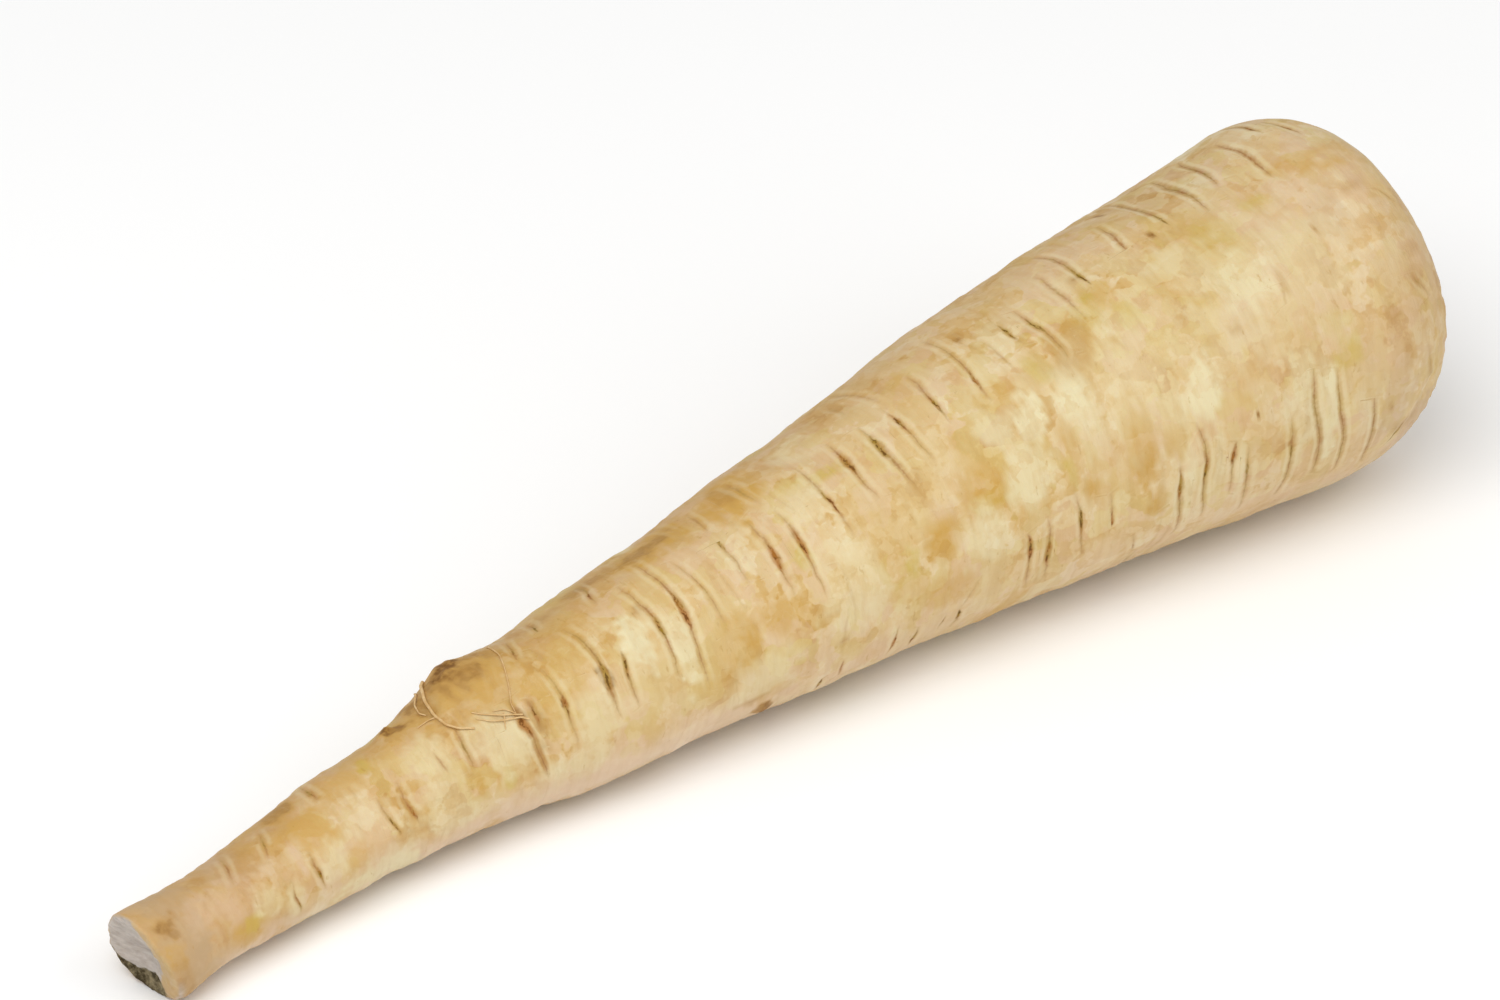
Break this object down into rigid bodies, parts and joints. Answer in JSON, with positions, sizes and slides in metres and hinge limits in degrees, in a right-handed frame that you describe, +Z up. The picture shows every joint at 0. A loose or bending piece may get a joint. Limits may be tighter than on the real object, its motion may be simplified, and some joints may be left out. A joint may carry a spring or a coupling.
{
  "type": "parsnip",
  "caption": "Whole parsnip lying on its side: long tapering cream root with shallow cross creases, rounded shoulder, sunken trimmed crown and cut tip.",
  "frame": {"origin": "on the surface that the root lies on, under the middle of its box", "axes": "+X along the root from the cut tip to the crown, +Z up from the surface it rests on, +Y to the left when looking from the tip to the crown"},
  "size_m": [0.244, 0.059, 0.0577],
  "materials": {
    "parsnip_skin": "satin"
  },
  "bodies": {
    "root": {"parsnip_root": "parsnip_skin"}
  },
  "joints": []
}
